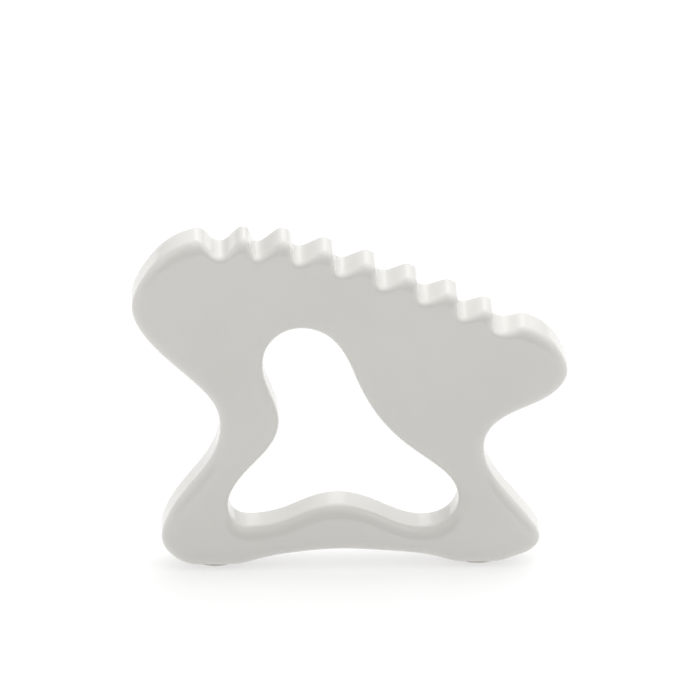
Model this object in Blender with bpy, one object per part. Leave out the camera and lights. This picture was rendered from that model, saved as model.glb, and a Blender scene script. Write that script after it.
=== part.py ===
"""Toast rack: a hollow glazed ceramic slab that stands on edge, with two silicone foot pads.

The slab is one slip-cast piece. Its outline is a sloping crest with eight grooves between two
lobes, two waists, two feet with a shallow arch between them, and a bell-shaped hole through it.
A casting hole opens through the sole of each foot, and the stem of a foot pad closes it.

Frame: +X along the rack, +Y through its thickness, +Z up. The origin is on the table, at the
middle of the rack. Sizes are in millimetres up to the point where a mesh is made.
"""
import bpy
import bmesh
import numpy as np
from mathutils.geometry import delaunay_2d_cdt

MM = 0.001

# Slab. Its edges are rounded over a width in from the outline and a depth through the thickness.
THICKNESS = 22.0
EDGE_WIDTH = 8.0
EDGE_DEPTH = 5.0
WALL = 4.5
CAVITY_EDGE = 2.0

# Grooves across the crest, measured along it and square to it
GROOVES = 8
FIRST_TOOTH_WIDTH = 15.8
LAST_TOOTH_WIDTH = 16.2
GROOVE_PITCH = 19.5
LEFT_FLANK_WIDTH = 14.5
RIGHT_FLANK_WIDTH = 11.0
GROOVE_DEPTH = 7.9
LAST_GROOVE_DEPTH = 6.2
FLANK_STEEPNESS = 0.45
TOOTH_LEAN = 0.25
GROOVE_EDGE = 2.5
GROOVE_STEPS = 12

# Feet: the flat soles, from x to x, and the pads under them
LEFT_SOLE = (-67.0, -51.0)
RIGHT_SOLE = (49.0, 63.5)
PAD_HEIGHT = 1.6
SEAT_GAP = 0.3
SOLE_HEIGHT = PAD_HEIGHT + SEAT_GAP
CASTING_HOLE_RADIUS = 3.0
PAD_LENGTH = 15.0
PAD_WIDTH = 11.0
STEM_RADIUS = CASTING_HOLE_RADIUS - SEAT_GAP
BARB_RADIUS = 3.7
BARB_HEIGHT = 2.6

# Spacing of points along the outlines, and how far in from them each ring of points lies
OUTLINE_STEP = 3.6
EDGE_RINGS = (0.5, 2.0, 4.6, 8.0)
GROOVE_RINGS = (0.3, 1.2, 2.5)

# Outline knots, (x, height above the soles).
# The crest line touches the tips of the teeth, the first of them at its first knot.
LEFT_SIDE = [
    (-77.0, 3.9), (-82.3, 11.5), (-81.0, 21.0),  # foot
    (-72.5, 35.5), (-61.2, 51.0), (-57.0, 63.5), (-58.5, 75.5), (-66.5, 86.5),  # waist
    (-79.0, 98.5), (-89.5, 110.5), (-95.0, 124.0), (-89.9, 138.6), (-80.6, 149.7), (-71.5, 154.9),  # lobe
]
CREST_LINE = [(-45.9, 156.6), (-30.0, 155.7), (-11.0, 151.0), (14.0, 142.4), (43.5, 130.2), (58.7, 122.3)]
RIGHT_SIDE = [
    (74.0, 114.4), (81.0, 111.8), (87.2, 107.2), (92.6, 99.5),  # top of the lobe
    (95.0, 91.0), (90.5, 82.7), (80.0, 75.9),  # underside of the lobe
    (68.0, 70.0), (60.5, 62.5), (58.7, 54.5), (61.5, 44.0),  # waist
    (70.5, 31.0), (80.6, 17.8), (83.2, 10.8), (79.3, 5.4), (71.5, 2.1),  # foot
]
ARCH = [(39.0, 2.4), (20.0, 5.4), (-4.0, 6.9), (-25.0, 5.3), (-40.0, 2.4)]
BELL_HOLE = [
    (-22.0, 113.5), (-9.5, 109.5), (-2.5, 101.0), (4.0, 86.0), (12.0, 71.3), (24.0, 57.8),
    (38.0, 46.7), (45.5, 38.3), (47.3, 29.5), (43.3, 21.3), (32.5, 17.2),
    (20.0, 20.1), (6.5, 26.2), (-5.0, 28.4), (-16.0, 26.5), (-28.0, 21.4),
    (-39.0, 18.6), (-49.4, 20.0), (-53.3, 27.5), (-49.8, 39.0), (-41.0, 49.8),
    (-33.5, 59.5), (-31.0, 68.5), (-34.0, 80.5), (-37.6, 91.5), (-36.5, 103.5), (-30.5, 110.7),
]


def unit(vector):
    return np.array(vector) / np.hypot(*vector)


def smooth_curve(knots, start=None, end=None, step=OUTLINE_STEP):
    """Points on the cubic through the knots whose bend changes smoothly.

    start and end are its directions at the two ends. Without them the curve is closed.
    """
    closed = start is None
    knots = np.array(knots + knots[:1] if closed else knots)
    chord = np.hypot(*np.diff(knots, axis=0).T)
    count = len(knots)
    matrix = np.zeros((count, count))
    target = np.zeros((count, 2))
    for i in range(1, count - 1):
        matrix[i, i - 1:i + 2] = 1 / chord[i - 1], 2 / chord[i - 1] + 2 / chord[i], 1 / chord[i]
        before = (knots[i] - knots[i - 1]) / chord[i - 1] ** 2
        after = (knots[i + 1] - knots[i]) / chord[i] ** 2
        target[i] = 3 * (before + after)
    if closed:
        matrix[0, [0, 1, -2]] = 2 / chord[-1] + 2 / chord[0], 1 / chord[0], 1 / chord[-1]
        before = (knots[0] - knots[-2]) / chord[-1] ** 2
        after = (knots[1] - knots[0]) / chord[0] ** 2
        target[0] = 3 * (before + after)
        matrix[-1, [0, -1]] = -1, 1
    else:
        matrix[0, 0] = matrix[-1, -1] = 1
        target[0] = unit(start)
        target[-1] = unit(end)
    tangents = np.linalg.solve(matrix, target)
    points = []
    for i, length in enumerate(chord):
        steps = max(1, round(length / step))
        for t in np.arange(steps) / steps:
            along = knots[i] * (1 + 2 * t) * (1 - t) ** 2 + knots[i + 1] * t * t * (3 - 2 * t)
            bend = tangents[i] * t * (1 - t) ** 2 - tangents[i + 1] * t * t * (1 - t)
            points.append(along + length * bend)
    if not closed:
        points.append(knots[-1])
    return np.array(points)


def no_cut(turns):
    return 0 * turns


def grooves(turns):
    """Depth below the crest line of grooves one turn apart, with rounded bottoms and steep flanks."""
    nearest = np.clip(np.round(turns), 0, GROOVES - 1)
    depth = np.where(nearest < GROOVES - 1, GROOVE_DEPTH, LAST_GROOVE_DEPTH)
    from_middle = np.minimum(np.abs(turns - nearest), 0.5)
    wave = (1 + np.cos(2 * np.pi * from_middle)) / 2
    steeper = 3 * wave ** 2 - 2 * wave ** 3
    return depth * (wave + FLANK_STEEPNESS * (steeper - wave))


def trough(turns):
    """Depth of one wide cut that joins the bottoms of the grooves and slopes up to the lobes."""
    depth = np.interp(turns, (GROOVES - 2, GROOVES - 1), (GROOVE_DEPTH, LAST_GROOVE_DEPTH))
    outside = np.clip(np.maximum(-turns, turns - (GROOVES - 1)), 0, 1)
    return depth * (1 + np.cos(np.pi * outside)) / 2


def outer_outline(cut):
    """The closed outer outline, clockwise as seen from the front, with a cut along its crest."""
    over_the_top = [(LEFT_SOLE[0], 0)] + LEFT_SIDE + CREST_LINE + RIGHT_SIDE + [(RIGHT_SOLE[1], 0)]
    line = smooth_curve(over_the_top, (-1, 0), (-1, 0), step=0.25)
    travelled = np.append(0, np.cumsum(np.hypot(*np.diff(line, axis=0).T)))
    first_tip = travelled[np.argmin(np.hypot(*(line - CREST_LINE[0]).T))]
    first, second = first_tip - FIRST_TOOTH_WIDTH / 2, first_tip + FIRST_TOOTH_WIDTH / 2
    alike = second + GROOVE_PITCH * np.arange(GROOVES - 2)
    last = alike[-1] + LAST_TOOTH_WIDTH
    ends = first - 2 * LEFT_FLANK_WIDTH, last + 2 * RIGHT_FLANK_WIDTH
    groove_at = np.array([ends[0], first, *alike, last, ends[1]])
    groove_numbers = range(-1, GROOVES + 1)
    toothed_turns = np.linspace(-0.5, GROOVES - 0.5, GROOVES * GROOVE_STEPS + 1)
    toothed = np.interp(toothed_turns, groove_numbers, groove_at)
    left, right = toothed[0], travelled[-1] - toothed[-1]
    up = np.linspace(0, left, round(left / OUTLINE_STEP), endpoint=False)
    down = travelled[-1] - np.linspace(0, right, round(right / OUTLINE_STEP), endpoint=False)[::-1]
    along = np.concatenate([up, toothed, down])
    points = np.column_stack([np.interp(along, travelled, axis) for axis in line.T])
    direction = np.column_stack([np.interp(along, travelled, axis) for axis in np.gradient(line, axis=0).T])
    direction /= np.hypot(*direction.T)[:, None]
    inward = np.column_stack([direction[:, 1], -direction[:, 0]]) - TOOTH_LEAN * direction
    points += inward * cut(np.interp(along, groove_at, groove_numbers))[:, None]
    between_feet = [(RIGHT_SOLE[0], 0)] + ARCH + [(LEFT_SOLE[1], 0)]
    return np.vstack([points, smooth_curve(between_feet, (-1, 0), (-1, 0))])


def hole_outline():
    return smooth_curve(BELL_HOLE)


def shifted(outline, distance):
    """The outline moved towards its right-hand side as its points run."""
    direction = np.roll(outline, -1, axis=0) - np.roll(outline, 1, axis=0)
    direction /= np.hypot(*direction.T)[:, None]
    return outline + distance * np.column_stack([direction[:, 1], -direction[:, 0]])


def distance_to(outlines, points):
    """Distance from each point to the nearest outline."""
    nearest = np.full(len(points), np.inf)
    for outline in outlines:
        for start, end in zip(outline, np.roll(outline, -1, axis=0)):
            side = end - start
            along = np.clip((points - start) @ side / (side @ side), 0, 1)
            gap = points - start - along[:, None] * side
            nearest = np.minimum(nearest, np.hypot(*gap.T))
    return nearest


def inside(outlines, points):
    """True where a point is inside an odd number of the outlines."""
    crossings = np.zeros(len(points), dtype=int)
    for outline in outlines:
        for (x0, z0), (x1, z1) in zip(outline, np.roll(outline, -1, axis=0)):
            if z0 == z1:
                continue
            spans = (z0 > points[:, 1]) != (z1 > points[:, 1])
            crossing_x = x0 + (points[:, 1] - z0) * (x1 - x0) / (z1 - z0)
            crossings += spans & (points[:, 0] < crossing_x)
    return crossings % 2 == 1


def lowered(distance, width, depth):
    """How far a rounded edge of that width and depth lies below its face, at a distance in from the rim."""
    return depth * (1 - np.sqrt(1 - (np.maximum(width - distance, 0) / width) ** 2))


def ring_points(sources, rings, outlines, least_clear):
    """Points at set distances in from the sources, inside the outlines and clear of them."""
    rows = []
    for source in sources:
        for ring in rings:
            moved = shifted(source, ring)
            clear = distance_to(sources, moved) > 0.97 * ring
            clear &= distance_to(outlines, moved) > 0.97 * min(ring, least_clear)
            rows.append(moved[clear & inside(outlines, moved)])
    return np.vstack(rows)


def slab(name, outlines, plain_outlines, half_thickness, edge_width, edge_depth, rings):
    """A slab with a rim round the outlines, and faces that round over into it.

    The rounded edge follows the plain outlines. Where the outlines are cut back from those,
    the edge is the small one of a groove.
    """
    rim = np.vstack(outlines)
    cut_back = distance_to(plain_outlines, rim) > 0.01
    flat = [rim, ring_points(plain_outlines, rings, outlines, GROOVE_EDGE)]
    if cut_back.any():
        near_groove = ring_points(outlines, GROOVE_RINGS, outlines, GROOVE_EDGE)
        from_crest = distance_to(plain_outlines, near_groove)
        flat.append(near_groove[from_crest > distance_to(outlines, near_groove) + 0.5])
    flat = np.vstack(flat)
    rim_edges = []
    first = 0
    for outline in outlines:
        last = first + len(outline)
        rim_edges += [(i, i + 1 if i + 1 < last else first) for i in range(first, last)]
        first = last
    placed, _, triangles, sources, _, _ = delaunay_2d_cdt(
        [tuple(point) for point in flat], rim_edges, [], 0, 0.001)
    placed = np.array([tuple(point) for point in placed])
    middles = np.array([placed[list(triangle)].mean(axis=0) for triangle in triangles])
    kept = [tri for tri, keep in zip(triangles, inside(outlines, middles)) if keep]
    now_at = {source: i for i, source_list in enumerate(sources) for source in source_list}
    from_rim = distance_to(outlines, placed)
    from_each = [distance_to([outline], placed) for outline in plain_outlines]
    grooved = np.clip((np.min(from_each, axis=0) - from_rim) / GROOVE_EDGE, 0, 1)
    height = half_thickness - grooved * lowered(from_rim, GROOVE_EDGE, GROOVE_EDGE)
    for distance in from_each:
        height -= lowered(distance, edge_width, edge_depth)

    mesh = bmesh.new()
    front = [mesh.verts.new((x * MM, -y * MM, z * MM)) for (x, z), y in zip(placed, height)]
    back = [mesh.verts.new((x * MM, y * MM, z * MM)) for (x, z), y in zip(placed, height)]
    for a, b, c in kept:
        mesh.faces.new((front[a], front[b], front[c]))
        mesh.faces.new((back[c], back[b], back[a]))
    for start, end in rim_edges:
        a, b = now_at[start], now_at[end]
        mesh.faces.new((front[a], front[b], back[b], back[a]))
    return finished(name, mesh)


def stack(name, rings, centre_x, segments=32):
    """A closed solid of oval rings, each (half length, half width, height), from the lowest up."""
    angles = np.arange(segments) * 2 * np.pi / segments
    mesh = bmesh.new()
    layers = []
    for half_length, half_width, height in rings:
        oval = zip(half_length * np.cos(angles), half_width * np.sin(angles))
        layers.append([mesh.verts.new((x * MM, y * MM, height * MM)) for x, y in oval])
    for lower, upper in zip(layers, layers[1:]):
        for i in range(segments):
            j = (i + 1) % segments
            mesh.faces.new((lower[i], lower[j], upper[j], upper[i]))
    mesh.faces.new(layers[0])
    mesh.faces.new(layers[-1])
    solid = finished(name, mesh)
    solid.location.x = centre_x * MM
    return solid


def finished(name, mesh):
    """Put the mesh in an object of its own, smooth apart from its sharp edges."""
    loose = [vert for vert in mesh.verts if not vert.link_faces]
    bmesh.ops.delete(mesh, geom=loose, context="VERTS")
    bmesh.ops.recalc_face_normals(mesh, faces=mesh.faces)
    data = bpy.data.meshes.new(name)
    mesh.to_mesh(data)
    mesh.free()
    data.shade_smooth()
    data.set_sharp_from_angle(angle=np.radians(40))
    solid = bpy.data.objects.new(name, data)
    bpy.context.collection.objects.link(solid)
    return solid


def material(name, colour, roughness):
    made = bpy.data.materials.new(name)
    made.use_nodes = True
    shader = made.node_tree.nodes["Principled BSDF"]
    shader.inputs["Base Color"].default_value = (*colour, 1)
    shader.inputs["Roughness"].default_value = roughness
    shader.inputs["Metallic"].default_value = 0
    return made


def cut(target, cutter):
    """Take the cutter's solid out of the target."""
    cutter.hide_render = True
    cutter.display_type = "WIRE"
    modifier = target.modifiers.new(cutter.name, "BOOLEAN")
    modifier.operation = "DIFFERENCE"
    modifier.object = cutter


def make_body(foot_centres):
    hole = hole_outline()[::-1]
    plain_outlines = [outer_outline(no_cut), hole]
    outlines = [outer_outline(grooves), hole]
    body = slab("body", outlines, plain_outlines, THICKNESS / 2, EDGE_WIDTH, EDGE_DEPTH, EDGE_RINGS)
    body.data.materials.append(material("white_glaze", (0.86, 0.855, 0.835), 0.12))
    cavity_outlines = [shifted(outer_outline(trough), WALL), shifted(hole, WALL)]
    cavity_half = THICKNESS / 2 - WALL
    edge = (CAVITY_EDGE, CAVITY_EDGE, (CAVITY_EDGE,))
    cavity = slab("cavity_cutter", cavity_outlines, cavity_outlines, cavity_half, *edge)
    cut(body, cavity)
    body.location.z = cavity.location.z = SOLE_HEIGHT * MM
    for number, centre_x in enumerate(foot_centres, start=1):
        ends = (SOLE_HEIGHT - 1, SOLE_HEIGHT + WALL + 2)
        drill = [(CASTING_HOLE_RADIUS, CASTING_HOLE_RADIUS, height) for height in ends]
        cut(body, stack(f"casting_hole_cutter_{number}", drill, centre_x))
    return body


def make_foot_pad(name, centre_x, silicone):
    """A soft oval pad with a rolled lower edge, a stem up the casting hole and a barb inside the slab."""
    half_length, half_width = PAD_LENGTH / 2, PAD_WIDTH / 2
    barb_base = SOLE_HEIGHT + WALL + SEAT_GAP
    roll = ((0.7, 0.0), (0.2, 0.2), (0.0, 0.7), (0.0, PAD_HEIGHT))
    rings = [(half_length - inset, half_width - inset, height) for inset, height in roll]
    rings.append((STEM_RADIUS, STEM_RADIUS, PAD_HEIGHT))
    rings.append((STEM_RADIUS, STEM_RADIUS, barb_base))
    rings.append((BARB_RADIUS, BARB_RADIUS, barb_base))
    rings.append((STEM_RADIUS - 1.0, STEM_RADIUS - 1.0, barb_base + BARB_HEIGHT))
    pad = stack(name, rings, centre_x)
    pad.data.materials.append(silicone)
    return pad


def main():
    for old in list(bpy.data.objects):
        bpy.data.objects.remove(old)
    left_centre = sum(LEFT_SOLE) / 2
    right_centre = sum(RIGHT_SOLE) / 2
    make_body((left_centre, right_centre))
    silicone = material("clear_silicone", (0.8, 0.8, 0.78), 0.45)
    make_foot_pad("left_foot_pad", left_centre, silicone)
    make_foot_pad("right_foot_pad", right_centre, silicone)


main()
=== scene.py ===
"""Looks of the ceramic toast rack: glaze, silicone, light table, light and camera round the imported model.

The slab is drawn again, much finer, from the same outline as the CAD part, and stands for it.
Lengths are in millimetres up to the point where a mesh is made, unless a comment says otherwise.
The frame is the CAD model's: +X along the rack, +Y through its thickness, +Z up, with the origin
on the table.
"""
import math

import bmesh
import bpy
import numpy as np
from mathutils import Matrix, Vector
from mathutils.geometry import delaunay_2d_cdt


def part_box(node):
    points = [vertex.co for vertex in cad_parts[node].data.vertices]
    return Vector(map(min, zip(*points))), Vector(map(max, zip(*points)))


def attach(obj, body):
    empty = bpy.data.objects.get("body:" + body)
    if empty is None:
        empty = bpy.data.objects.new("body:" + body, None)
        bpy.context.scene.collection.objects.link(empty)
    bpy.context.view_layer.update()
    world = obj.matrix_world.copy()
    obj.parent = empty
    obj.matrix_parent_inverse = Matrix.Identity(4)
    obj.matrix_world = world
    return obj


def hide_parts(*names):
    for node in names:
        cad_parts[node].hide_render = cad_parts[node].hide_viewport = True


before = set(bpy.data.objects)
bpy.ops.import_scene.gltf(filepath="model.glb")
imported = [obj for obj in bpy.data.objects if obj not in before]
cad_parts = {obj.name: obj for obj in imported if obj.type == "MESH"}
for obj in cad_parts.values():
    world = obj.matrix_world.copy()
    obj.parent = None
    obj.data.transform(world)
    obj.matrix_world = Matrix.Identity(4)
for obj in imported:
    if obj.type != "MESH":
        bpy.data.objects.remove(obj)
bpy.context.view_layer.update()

MM = 0.001
BODY_LOW, BODY_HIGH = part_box("body")
HALF_THICKNESS = (BODY_HIGH[1] - BODY_LOW[1]) / 2 / MM
SOLE_HEIGHT = BODY_LOW[2] / MM

# Slab. Its edges round over a width in from the outline and a depth through the thickness.
EDGE_WIDTH = 8.0
EDGE_DEPTH = 5.0
WALL = 4.5
CASTING_HOLE_RADIUS = 3.0

# Grooves across the crest, measured along it and square to it
GROOVES = 8
FIRST_TOOTH_WIDTH = 15.8
LAST_TOOTH_WIDTH = 16.2
GROOVE_PITCH = 19.5
LEFT_FLANK_WIDTH = 14.5
RIGHT_FLANK_WIDTH = 11.0
GROOVE_DEPTH = 7.9
LAST_GROOVE_DEPTH = 6.2
FLANK_STEEPNESS = 0.45
TOOTH_LEAN = 0.25
GROOVE_EDGE = 2.5

# Fineness of the slab's mesh: points across each groove, steps along the rest of the outline and
# along the line it is laid out on, and the angles at which the rings of the rounded edges lie
GROOVE_STEPS = 40
OUTLINE_STEP = 1.0
LAYOUT_STEP = 0.25
EDGE_RING_ANGLES = (12, 22, 32, 42, 52, 62, 75, 90)
GROOVE_RING_ANGLES = (15, 32, 50, 68, 90)

# Room between the mesh's points: from each face to the next row across the rim, the share of its
# distance that every point of a ring keeps from the rim, how much farther a groove's rings lie from
# the crest line than from the groove, and how close two points come before they are taken as one
RIM_SHOULDER = 1.0
RING_CLEARANCE = 0.97
CREST_CLEARANCE = 0.3
MERGE_DISTANCE = 0.001

# Feet: the flat soles, from x to x, and the pads under them
LEFT_SOLE = (-67.0, -51.0)
RIGHT_SOLE = (49.0, 63.5)
SEAT_GAP = 0.3
PAD_SEGMENTS = 96
PAD_LOWER_ROLL = 0.7
PAD_LOWER_ANGLES = range(0, 91, 15)
PAD_UPPER_ROLL = 0.25
PAD_UPPER_ANGLES = range(0, 91, 30)
BARB_RADIUS = 3.7
BARB_HEIGHT = 2.6
BARB_TAPER = 1.0

# Outline knots, (x, height above the soles).
# The crest line touches the tips of the teeth, the first of them at its first knot.
LEFT_SIDE = [
    (-77.0, 3.9), (-82.3, 11.5), (-81.0, 21.0),  # foot
    (-72.5, 35.5), (-61.2, 51.0), (-57.0, 63.5), (-58.5, 75.5), (-66.5, 86.5),  # waist
    (-79.0, 98.5), (-89.5, 110.5), (-95.0, 124.0), (-89.9, 138.6), (-80.6, 149.7), (-71.5, 154.9),  # lobe
]
CREST_LINE = [(-45.9, 156.6), (-30.0, 155.7), (-11.0, 151.0), (14.0, 142.4), (43.5, 130.2), (58.7, 122.3)]
RIGHT_SIDE = [
    (74.0, 114.4), (81.0, 111.8), (87.2, 107.2), (92.6, 99.5),  # top of the lobe
    (95.0, 91.0), (90.5, 82.7), (80.0, 75.9),  # underside of the lobe
    (68.0, 70.0), (60.5, 62.5), (58.7, 54.5), (61.5, 44.0),  # waist
    (70.5, 31.0), (80.6, 17.8), (83.2, 10.8), (79.3, 5.4), (71.5, 2.1),  # foot
]
ARCH = [(39.0, 2.4), (20.0, 5.4), (-4.0, 6.9), (-25.0, 5.3), (-40.0, 2.4)]
BELL_HOLE = [
    (-22.0, 113.5), (-9.5, 109.5), (-2.5, 101.0), (4.0, 86.0), (12.0, 71.3), (24.0, 57.8),
    (38.0, 46.7), (45.5, 38.3), (47.3, 29.5), (43.3, 21.3), (32.5, 17.2),
    (20.0, 20.1), (6.5, 26.2), (-5.0, 28.4), (-16.0, 26.5), (-28.0, 21.4),
    (-39.0, 18.6), (-49.4, 20.0), (-53.3, 27.5), (-49.8, 39.0), (-41.0, 49.8),
    (-33.5, 59.5), (-31.0, 68.5), (-34.0, 80.5), (-37.6, 91.5), (-36.5, 103.5), (-30.5, 110.7),
]

# Surfaces. Most of a noise lies within the span, and relief is in millimetres.
# The glaze is wiped off the soles up to a ragged line a little above them.
NOISE_SPAN = (0.3, 0.7)
GLAZE_TONES = (0.655, 0.644, 0.609, 1), (0.683, 0.672, 0.638, 1)
GLAZE_FLECK = (0.70, 0.69, 0.66, 1)
FLECK_SPAN = (0.55, 0.8)
FLECK_STRENGTH = 0.12
GLAZE_ROUGHNESS = (0.16, 0.24)
GLAZE_RIPPLE = 0.06
GLAZE_PEEL = 0.003
GLAZE_IOR = 1.5
WIPED_HEIGHTS = (0.05, 0.2)
WIPED_RAGGEDNESS = 0.3
CLAY_TONES = (0.62, 0.59, 0.54, 1), (0.72, 0.69, 0.64, 1)
CLAY_ROUGHNESS = 0.8
SILICONE_TONES = (0.70, 0.70, 0.67, 1), (0.78, 0.78, 0.76, 1)
SILICONE_ROUGHNESS = (0.38, 0.55)
SILICONE_SKIN = 0.01
SILICONE_IOR = 1.41

# Camera: a long lens, a little above the rack and a little to its left. Lengths are in metres.
CAMERA_ELEVATION = math.radians(25.0)
CAMERA_TURN = math.radians(1.53)
CAMERA_DISTANCE = 6.0
FRAME_WIDTH = 0.3054
AIM = Vector((0.0002, 0.0, 0.1017))

# Room: a little light from all round, and more from soft walls given as (direction, brightness)
ROOM_BASE = 0.03
WALL_NARROWNESS = 4
ROOM_WALLS = [
    ((0.0, 0.0, 1.0), 1.10), ((0.71, 0.0, 0.71), 1.08), ((0.58, 0.58, 0.58), 0.60),
    ((0.0, 0.71, 0.71), 0.60), ((0.0, 1.0, 0.0), 0.56), ((-1.0, 0.0, 0.0), 1.10),
    ((-0.58, 0.58, 0.58), 0.30), ((0.0, -0.71, 0.71), 0.38), ((1.0, 0.0, 0.0), 0.15),
]

# The light table, and a lamp at the side and one behind. Lengths are in metres.
TABLE_SIZE = 40
TABLE_COLOUR = (0.44, 0.44, 0.44, 1)
TABLE_ROUGHNESS = 0.8
TABLE_GLOW = 0.53
SIDE_PLACE = (-1.1, -0.53, 0.96)
SIDE_TARGET = (0, 0, 0.08)
SIDE_SIZE = 0.8
SIDE_POWER = 1.3
BACK_PLACE = (0.0, 1.45, 0.70)
BACK_TARGET = (0, 0, 0.03)
BACK_SIZE = 0.35
BACK_POWER = 0.18


# ---------------------------------------------------------------- outline of the slab


def unit(vector):
    return np.array(vector) / np.hypot(*vector)


def smooth_curve(knots, start=None, end=None, step=OUTLINE_STEP):
    """Points on the cubic through the knots whose bend changes smoothly.

    start and end are its directions at the two ends. Without them the curve is closed.
    """
    closed = start is None
    knots = np.array(knots + knots[:1] if closed else knots)
    chord = np.hypot(*np.diff(knots, axis=0).T)
    count = len(knots)
    matrix = np.zeros((count, count))
    target = np.zeros((count, 2))
    for i in range(1, count - 1):
        matrix[i, i - 1:i + 2] = 1 / chord[i - 1], 2 / chord[i - 1] + 2 / chord[i], 1 / chord[i]
        before = (knots[i] - knots[i - 1]) / chord[i - 1] ** 2
        after = (knots[i + 1] - knots[i]) / chord[i] ** 2
        target[i] = 3 * (before + after)
    if closed:
        matrix[0, [0, 1, -2]] = 2 / chord[-1] + 2 / chord[0], 1 / chord[0], 1 / chord[-1]
        before = (knots[0] - knots[-2]) / chord[-1] ** 2
        after = (knots[1] - knots[0]) / chord[0] ** 2
        target[0] = 3 * (before + after)
        matrix[-1, [0, -1]] = -1, 1
    else:
        matrix[0, 0] = matrix[-1, -1] = 1
        target[0] = unit(start)
        target[-1] = unit(end)
    tangents = np.linalg.solve(matrix, target)
    points = []
    for i, length in enumerate(chord):
        steps = max(1, round(length / step))
        for t in np.arange(steps) / steps:
            along = knots[i] * (1 + 2 * t) * (1 - t) ** 2 + knots[i + 1] * t * t * (3 - 2 * t)
            bend = tangents[i] * t * (1 - t) ** 2 - tangents[i + 1] * t * t * (1 - t)
            points.append(along + length * bend)
    if not closed:
        points.append(knots[-1])
    return np.array(points)


def no_cut(turns):
    """No depth anywhere, for the crest before its grooves are cut."""
    return 0 * turns


def grooves(turns):
    """Depth below the crest line of grooves one turn apart, with rounded bottoms and steep flanks."""
    nearest = np.clip(np.round(turns), 0, GROOVES - 1)
    depth = np.where(nearest < GROOVES - 1, GROOVE_DEPTH, LAST_GROOVE_DEPTH)
    from_middle = np.minimum(np.abs(turns - nearest), 0.5)
    wave = (1 + np.cos(2 * np.pi * from_middle)) / 2
    steeper = 3 * wave ** 2 - 2 * wave ** 3
    return depth * (wave + FLANK_STEEPNESS * (steeper - wave))


def outer_outline(cut):
    """The closed outer outline, clockwise as seen from the front, with a cut along its crest."""
    over_the_top = [(LEFT_SOLE[0], 0)] + LEFT_SIDE + CREST_LINE + RIGHT_SIDE + [(RIGHT_SOLE[1], 0)]
    line = smooth_curve(over_the_top, (-1, 0), (-1, 0), LAYOUT_STEP)
    travelled = np.append(0, np.cumsum(np.hypot(*np.diff(line, axis=0).T)))
    first_tip = travelled[np.argmin(np.hypot(*(line - CREST_LINE[0]).T))]
    first, second = first_tip - FIRST_TOOTH_WIDTH / 2, first_tip + FIRST_TOOTH_WIDTH / 2
    alike = second + GROOVE_PITCH * np.arange(GROOVES - 2)
    last = alike[-1] + LAST_TOOTH_WIDTH
    ends = first - 2 * LEFT_FLANK_WIDTH, last + 2 * RIGHT_FLANK_WIDTH
    groove_at = np.array([ends[0], first, *alike, last, ends[1]])
    groove_numbers = range(-1, GROOVES + 1)
    toothed_turns = np.linspace(-0.5, GROOVES - 0.5, GROOVES * GROOVE_STEPS + 1)
    toothed = np.interp(toothed_turns, groove_numbers, groove_at)
    left, right = toothed[0], travelled[-1] - toothed[-1]
    up = np.linspace(0, left, round(left / OUTLINE_STEP), endpoint=False)
    down = travelled[-1] - np.linspace(0, right, round(right / OUTLINE_STEP), endpoint=False)[::-1]
    along = np.concatenate([up, toothed, down])
    points = np.column_stack([np.interp(along, travelled, axis) for axis in line.T])
    direction = np.column_stack([np.interp(along, travelled, axis) for axis in np.gradient(line, axis=0).T])
    direction /= np.hypot(*direction.T)[:, None]
    inward = np.column_stack([direction[:, 1], -direction[:, 0]]) - TOOTH_LEAN * direction
    points += inward * cut(np.interp(along, groove_at, groove_numbers))[:, None]
    between_feet = [(RIGHT_SOLE[0], 0)] + ARCH + [(LEFT_SOLE[1], 0)]
    return np.vstack([points, smooth_curve(between_feet, (-1, 0), (-1, 0))])


def shifted(outline, distance):
    """The outline moved towards its right-hand side as its points run."""
    direction = np.roll(outline, -1, axis=0) - np.roll(outline, 1, axis=0)
    direction /= np.hypot(*direction.T)[:, None]
    return outline + distance * np.column_stack([direction[:, 1], -direction[:, 0]])


def distance_to(outlines, points):
    """Distance from each point to the nearest outline."""
    nearest = np.full(len(points), np.inf)
    for outline in outlines:
        for start, end in zip(outline, np.roll(outline, -1, axis=0)):
            side = end - start
            along = np.clip((points - start) @ side / (side @ side), 0, 1)
            gap = points - start - along[:, None] * side
            nearest = np.minimum(nearest, np.hypot(*gap.T))
    return nearest


def inside(outlines, points):
    """True where a point is inside an odd number of the outlines."""
    crossings = np.zeros(len(points), dtype=int)
    for outline in outlines:
        for (x0, z0), (x1, z1) in zip(outline, np.roll(outline, -1, axis=0)):
            if z0 == z1:
                continue
            spans = (z0 > points[:, 1]) != (z1 > points[:, 1])
            crossing_x = x0 + (points[:, 1] - z0) * (x1 - x0) / (z1 - z0)
            crossings += spans & (points[:, 0] < crossing_x)
    return crossings % 2 == 1


# ---------------------------------------------------------------- meshes


def add(name, data):
    made = bpy.data.objects.new(name, data)
    bpy.context.collection.objects.link(made)
    return made


def finished(name, mesh):
    """Put the mesh in an object of its own, shaded smooth."""
    loose = [vert for vert in mesh.verts if not vert.link_faces]
    bmesh.ops.delete(mesh, geom=loose, context="VERTS")
    bmesh.ops.recalc_face_normals(mesh, faces=mesh.faces)
    data = bpy.data.meshes.new(name)
    mesh.to_mesh(data)
    mesh.free()
    data.shade_smooth()
    return add(name, data)


def lowered(distance, width, depth):
    """How far a rounded edge of that width and depth lies below its face, at a distance in from the rim."""
    return depth * (1 - np.sqrt(1 - (np.maximum(width - distance, 0) / width) ** 2))


def ring_distances(angles, width):
    """How far in from the rim a rounded edge of that width has turned through each angle."""
    return [width * (1 - math.cos(math.radians(angle))) for angle in angles]


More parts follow.
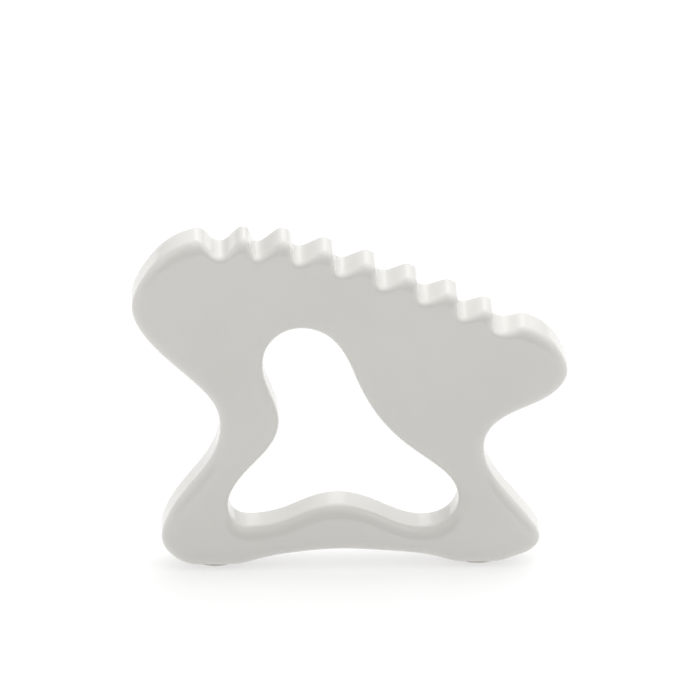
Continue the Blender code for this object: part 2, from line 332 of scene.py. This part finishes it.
def ring_points(sources, rings, outlines):
    """Points at set distances in from the sources, inside the outlines and clear of them."""
    rows = []
    for source in sources:
        for ring in rings:
            moved = shifted(source, ring)
            clear = distance_to(sources, moved) > RING_CLEARANCE * ring
            clear &= distance_to(outlines, moved) > RING_CLEARANCE * min(ring, GROOVE_EDGE)
            rows.append(moved[clear & inside(outlines, moved)])
    return np.vstack(rows)


def slab(name, outlines, plain_outlines):
    """A closed slab with a rim round the outlines, and faces that round over into it.

    The rounded edge follows the plain outlines. Where the outlines are cut back from those,
    the edge is the small one of a groove.
    """
    near_edge = ring_points(plain_outlines, ring_distances(EDGE_RING_ANGLES, EDGE_WIDTH), outlines)
    near_groove = ring_points(outlines, ring_distances(GROOVE_RING_ANGLES, GROOVE_EDGE), outlines)
    from_crest = distance_to(plain_outlines, near_groove)
    in_groove = from_crest > distance_to(outlines, near_groove) + CREST_CLEARANCE
    flat = np.vstack([*outlines, near_edge, near_groove[in_groove]])
    rim_edges = []
    first = 0
    for outline in outlines:
        last = first + len(outline)
        rim_edges += [(i, i + 1 if i + 1 < last else first) for i in range(first, last)]
        first = last
    placed, _, triangles, sources, _, _ = delaunay_2d_cdt(
        [tuple(point) for point in flat], rim_edges, [], 0, MERGE_DISTANCE)
    placed = np.array([tuple(point) for point in placed])
    middles = np.array([placed[list(triangle)].mean(axis=0) for triangle in triangles])
    kept = [tri for tri, keep in zip(triangles, inside(outlines, middles)) if keep]
    now_at = {source: i for i, source_list in enumerate(sources) for source in source_list}
    from_rim = distance_to(outlines, placed)
    from_each = [distance_to([outline], placed) for outline in plain_outlines]
    grooved = np.clip((np.min(from_each, axis=0) - from_rim) / GROOVE_EDGE, 0, 1)
    height = HALF_THICKNESS - grooved * lowered(from_rim, GROOVE_EDGE, GROOVE_EDGE)
    for distance in from_each:
        height -= lowered(distance, EDGE_WIDTH, EDGE_DEPTH)

    mesh = bmesh.new()
    front = [mesh.verts.new((x * MM, -y * MM, z * MM)) for (x, z), y in zip(placed, height)]
    back = [mesh.verts.new((x * MM, y * MM, z * MM)) for (x, z), y in zip(placed, height)]
    across = {}
    for start, _ in rim_edges:
        at = now_at[start]
        x, z = placed[at]
        shoulder = height[at] - RIM_SHOULDER
        between = [mesh.verts.new((x * MM, y * MM, z * MM)) for y in (-shoulder, 0, shoulder)]
        across[at] = [front[at]] + between + [back[at]]
    for a, b, c in kept:
        mesh.faces.new((front[a], front[b], front[c]))
        mesh.faces.new((back[c], back[b], back[a]))
    for start, end in rim_edges:
        here, there = across[now_at[start]], across[now_at[end]]
        for row in range(len(here) - 1):
            mesh.faces.new((here[row], there[row], there[row + 1], here[row + 1]))
    return finished(name, mesh)


def stack(name, rings, centre_x):
    """A closed solid of oval rings, each (half length, half width, height), from the lowest up."""
    angles = np.arange(PAD_SEGMENTS) * 2 * np.pi / PAD_SEGMENTS
    mesh = bmesh.new()
    layers = []
    for half_length, half_width, height in rings:
        oval = zip(half_length * np.cos(angles) + centre_x, half_width * np.sin(angles))
        layers.append([mesh.verts.new((x * MM, y * MM, height * MM)) for x, y in oval])
    for lower, upper in zip(layers, layers[1:]):
        for i in range(PAD_SEGMENTS):
            j = (i + 1) % PAD_SEGMENTS
            mesh.faces.new((lower[i], lower[j], upper[j], upper[i]))
    mesh.faces.new(layers[0])
    mesh.faces.new(layers[-1])
    return finished(name, mesh)


def make_slab():
    """The glazed slab. It is drawn solid, since its cavity and casting holes are out of sight."""
    hole = smooth_curve(BELL_HOLE)[::-1]
    piece = slab("glazed_slab", [outer_outline(grooves), hole], [outer_outline(no_cut), hole])
    piece.data.transform(Matrix.Translation((0, 0, SOLE_HEIGHT * MM)))
    return piece


def make_pad(name, node):
    """A moulded silicone pad with a rolled lower edge, a stem up the casting hole and a barb."""
    low, high = (np.array(corner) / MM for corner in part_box(node))
    centre_x = (low[0] + high[0]) / 2
    half_length, half_width = (high[0] - low[0]) / 2, (high[1] - low[1]) / 2
    thickness = SOLE_HEIGHT - SEAT_GAP
    stem = CASTING_HOLE_RADIUS - SEAT_GAP
    rings = []
    for angle in PAD_LOWER_ANGLES:
        turn = math.radians(angle)
        inset = PAD_LOWER_ROLL * (1 - math.sin(turn))
        rings.append((half_length - inset, half_width - inset, PAD_LOWER_ROLL * (1 - math.cos(turn))))
    for angle in PAD_UPPER_ANGLES:
        turn = math.radians(angle)
        inset = PAD_UPPER_ROLL * (1 - math.cos(turn))
        height = thickness - PAD_UPPER_ROLL * (1 - math.sin(turn))
        rings.append((half_length - inset, half_width - inset, height))
    barb_base = SOLE_HEIGHT + WALL + SEAT_GAP
    rings.append((stem, stem, thickness))
    rings.append((stem, stem, barb_base))
    rings.append((BARB_RADIUS, BARB_RADIUS, barb_base))
    rings.append((stem - BARB_TAPER, stem - BARB_TAPER, barb_base + BARB_HEIGHT))
    return stack(name, rings, centre_x)


# ---------------------------------------------------------------- materials


class Nodes:
    """The nodes of a material or a world, with short calls to add and join them."""

    def __init__(self, owner):
        owner.use_nodes = True
        self.tree = owner.node_tree

    def add(self, kind, settings=(), **inputs):
        """A new node. Inputs are named by their sockets, with _ for a space, or numbered as in1."""
        made = self.tree.nodes.new(kind)
        for key, value in dict(settings).items():
            setattr(made, key, value)
        for key, value in inputs.items():
            numbered = key[:2] == "in" and key[2:].isdigit()
            self.put(value, made.inputs[int(key[2:]) if numbered else key.replace("_", " ")])
        return made

    def put(self, value, socket):
        """Join another node's output to the socket, or set its plain value."""
        if isinstance(value, bpy.types.NodeSocket):
            self.tree.links.new(value, socket)
        else:
            socket.default_value = value

    def maths(self, operation, first, second, third=0.0):
        made = self.add("ShaderNodeMath", {"operation": operation}, in0=first, in1=second, in2=third)
        return made.outputs[0]


class Surface(Nodes):
    """A new material's nodes, with its patterns placed by the model's own coordinates."""

    def __init__(self, name):
        self.material = bpy.data.materials.new(name)
        super().__init__(self.material)
        self.shader = self.tree.nodes["Principled BSDF"]
        self.place = self.add("ShaderNodeTexCoord").outputs["Object"]

    def noise(self, size, detail=3.0):
        """Noise whose features are about that many millimetres across."""
        made = self.add("ShaderNodeTexNoise", Vector=self.place, Scale=1 / (size * MM), Detail=detail)
        return made.outputs["Fac"]

    def spread(self, value, low, high, to_low=0.0, to_high=1.0):
        """The value moved from the span low to high to another span, and kept inside it."""
        made = self.add("ShaderNodeMapRange", in0=value, in1=low, in2=high, in3=to_low, in4=to_high)
        return made.outputs["Result"]

    def blend(self, share, first, second):
        """The first colour, with a share of the second in its place."""
        made = self.add("ShaderNodeMix", {"data_type": "RGBA"}, in0=share, in6=first, in7=second)
        return made.outputs[2]

    def bump(self, height, depth, under=None):
        """Relief of the given depth in millimetres, over an earlier relief."""
        made = self.add("ShaderNodeBump", Height=height, Distance=depth * MM, Strength=1.0)
        if under:
            self.put(under, made.inputs["Normal"])
        return made.outputs["Normal"]

    def set(self, **inputs):
        """Set or join the shader's own inputs."""
        for key, value in inputs.items():
            self.put(value, self.shader.inputs[key.replace("_", " ")])


def glaze_material():
    """White porcelain under a clear gloss glaze, wiped off the soles."""
    made = Surface("porcelain_glaze")
    clouds = made.spread(made.noise(45, detail=2), *NOISE_SPAN)
    tone = made.blend(clouds, *GLAZE_TONES)
    mottle = made.spread(made.noise(1.4, detail=2), *FLECK_SPAN)
    tone = made.blend(made.maths("MULTIPLY", mottle, FLECK_STRENGTH), tone, GLAZE_FLECK)
    height = made.add("ShaderNodeSeparateXYZ", Vector=made.place).outputs["Z"]
    ragged = made.spread(made.noise(2.5), *NOISE_SPAN, 0.0, WIPED_RAGGEDNESS * MM)
    wiped_from, wiped_to = ((SOLE_HEIGHT + above) * MM for above in WIPED_HEIGHTS)
    bare = made.spread(made.maths("SUBTRACT", height, ragged), wiped_from, wiped_to, 1.0, 0.0)
    grain = made.noise(0.5, detail=4)
    clay = made.blend(grain, *CLAY_TONES)
    gloss = made.spread(made.noise(12), *NOISE_SPAN, *GLAZE_ROUGHNESS)
    roughness = made.add("ShaderNodeMix", in0=bare, in2=gloss, in3=CLAY_ROUGHNESS).outputs[0]
    ripple = made.bump(made.noise(26, detail=1), GLAZE_RIPPLE)
    peel = made.bump(made.noise(3.0, detail=1), GLAZE_PEEL, ripple)
    made.set(Base_Color=made.blend(bare, tone, clay), Roughness=roughness, Normal=peel, IOR=GLAZE_IOR,
             Coat_Weight=0.5, Coat_Roughness=0.14, Coat_IOR=GLAZE_IOR)
    return made.material


def silicone_material():
    """Clear silicone, a little cloudy, with the dull skin of its mould."""
    made = Surface("moulded_silicone")
    cloud = made.spread(made.noise(4), *NOISE_SPAN)
    tone = made.blend(cloud, *SILICONE_TONES)
    skin = made.noise(0.35)
    roughness = made.spread(skin, *NOISE_SPAN, *SILICONE_ROUGHNESS)
    made.set(Base_Color=tone, Roughness=roughness, Normal=made.bump(skin, SILICONE_SKIN), IOR=SILICONE_IOR,
             Subsurface_Weight=0.3, Subsurface_Scale=0.002)
    return made.material


# ---------------------------------------------------------------- studio and camera


def look_at(thing, place, target):
    thing.location = place
    thing.rotation_euler = (Vector(target) - Vector(place)).to_track_quat("-Z", "Y").to_euler()


def make_camera():
    data = bpy.data.cameras.new("camera")
    data.lens = data.sensor_width * CAMERA_DISTANCE / FRAME_WIDTH
    data.clip_end = 100
    camera = add("camera", data)
    flat = math.cos(CAMERA_ELEVATION)
    back = Vector((-flat * math.sin(CAMERA_TURN), -flat * math.cos(CAMERA_TURN), math.sin(CAMERA_ELEVATION)))
    look_at(camera, AIM + back * CAMERA_DISTANCE, AIM)
    bpy.context.scene.camera = camera


def area_light(name, place, target, size, power):
    """A square lamp that lights the rack and is out of the camera's sight."""
    data = bpy.data.lights.new(name, "AREA")
    data.size = size
    data.energy = power
    light = add(name, data)
    light.visible_camera = False
    look_at(light, place, target)


def make_floor():
    bpy.ops.mesh.primitive_plane_add(size=TABLE_SIZE)
    floor = bpy.context.object
    floor.name = "light_table"
    made = Surface("light_table")
    made.set(Base_Color=TABLE_COLOUR, Roughness=TABLE_ROUGHNESS, Emission_Color=(1, 1, 1, 1),
             Emission_Strength=TABLE_GLOW)
    floor.data.materials.append(made.material)


def make_room():
    """Soft light from all round, brighter from the walls named at the top."""
    world = bpy.data.worlds.new("studio")
    made = Nodes(world)
    direction = made.add("ShaderNodeTexCoord").outputs["Generated"]
    total = ROOM_BASE
    for wall, brightness in ROOM_WALLS:
        across = made.add("ShaderNodeVectorMath", {"operation": "DOT_PRODUCT"}, in0=direction, in1=wall)
        ahead = made.maths("MAXIMUM", across.outputs["Value"], 0.0)
        facing = made.maths("POWER", ahead, WALL_NARROWNESS)
        total = made.maths("MULTIPLY_ADD", facing, brightness, total)
    background = made.tree.nodes["Background"]
    made.put((1, 1, 1, 1), background.inputs["Color"])
    made.put(total, background.inputs["Strength"])
    bpy.context.scene.world = world


def make_studio():
    make_floor()
    make_room()
    area_light("side", SIDE_PLACE, SIDE_TARGET, SIDE_SIZE, SIDE_POWER)
    area_light("back", BACK_PLACE, BACK_TARGET, BACK_SIZE, BACK_POWER)
    bpy.context.scene.view_settings.view_transform = "Standard"


# ---------------------------------------------------------------- the rack

make_camera()
glaze = glaze_material()
silicone = silicone_material()
rack = make_slab()
left_pad = make_pad("left_pad", "left_foot_pad")
right_pad = make_pad("right_pad", "right_foot_pad")
for piece, node, material, slot in [
    (rack, "body", glaze, "white_glaze"),
    (left_pad, "left_foot_pad", silicone, "clear_silicone"),
    (right_pad, "right_foot_pad", silicone, "clear_silicone"),
]:
    piece.data.materials.append(material)
    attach(piece, "root")
    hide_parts(node)
make_studio()
